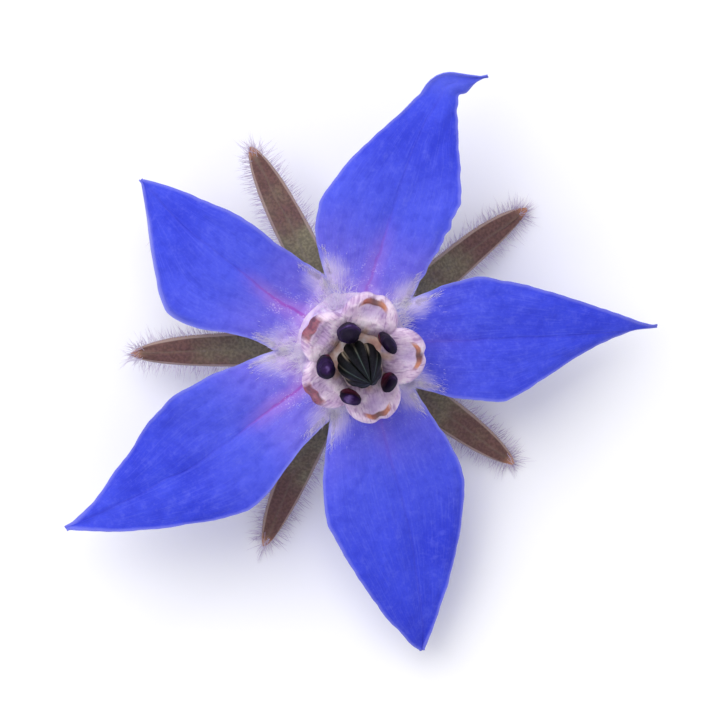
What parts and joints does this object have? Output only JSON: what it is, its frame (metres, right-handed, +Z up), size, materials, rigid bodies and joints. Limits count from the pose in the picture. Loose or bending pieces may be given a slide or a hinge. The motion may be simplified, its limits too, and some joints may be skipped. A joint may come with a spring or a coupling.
{
  "type": "borage flower",
  "caption": "Star-shaped open flower with pointed petals, narrow sepals, a scaled throat, an anther cone and a bent stalk, lying face up.",
  "frame": {"origin": "on the surface that the flower lies on, under the middle of its outline seen from above", "axes": "+Z up, the way the flower faces but for its lean; +X to the picture's right, +Y to its top"},
  "size_m": [0.0238, 0.0238, 0.0112],
  "materials": {
    "petal": "soft blue petal with fine veins and a satin sheen",
    "sepal": "matte olive brown with white bristles",
    "throat": "satin white with lilac shade and brown scale tips",
    "horn": "satin dark violet",
    "anther": "matte black green with pale lines",
    "pedicel": "maroon stalk with white bristles"
  },
  "bodies": {
    "root": {"petal_1": "petal", "petal_2": "petal", "petal_3": "petal", "petal_4": "petal", "petal_5": "petal", "sepal_1": "sepal", "sepal_2": "sepal", "sepal_3": "sepal", "sepal_4": "sepal", "sepal_5": "sepal", "throat": "throat", "stamen_horns": "horn", "anther_cone": "anther", "pedicel": "pedicel"}
  },
  "joints": []
}
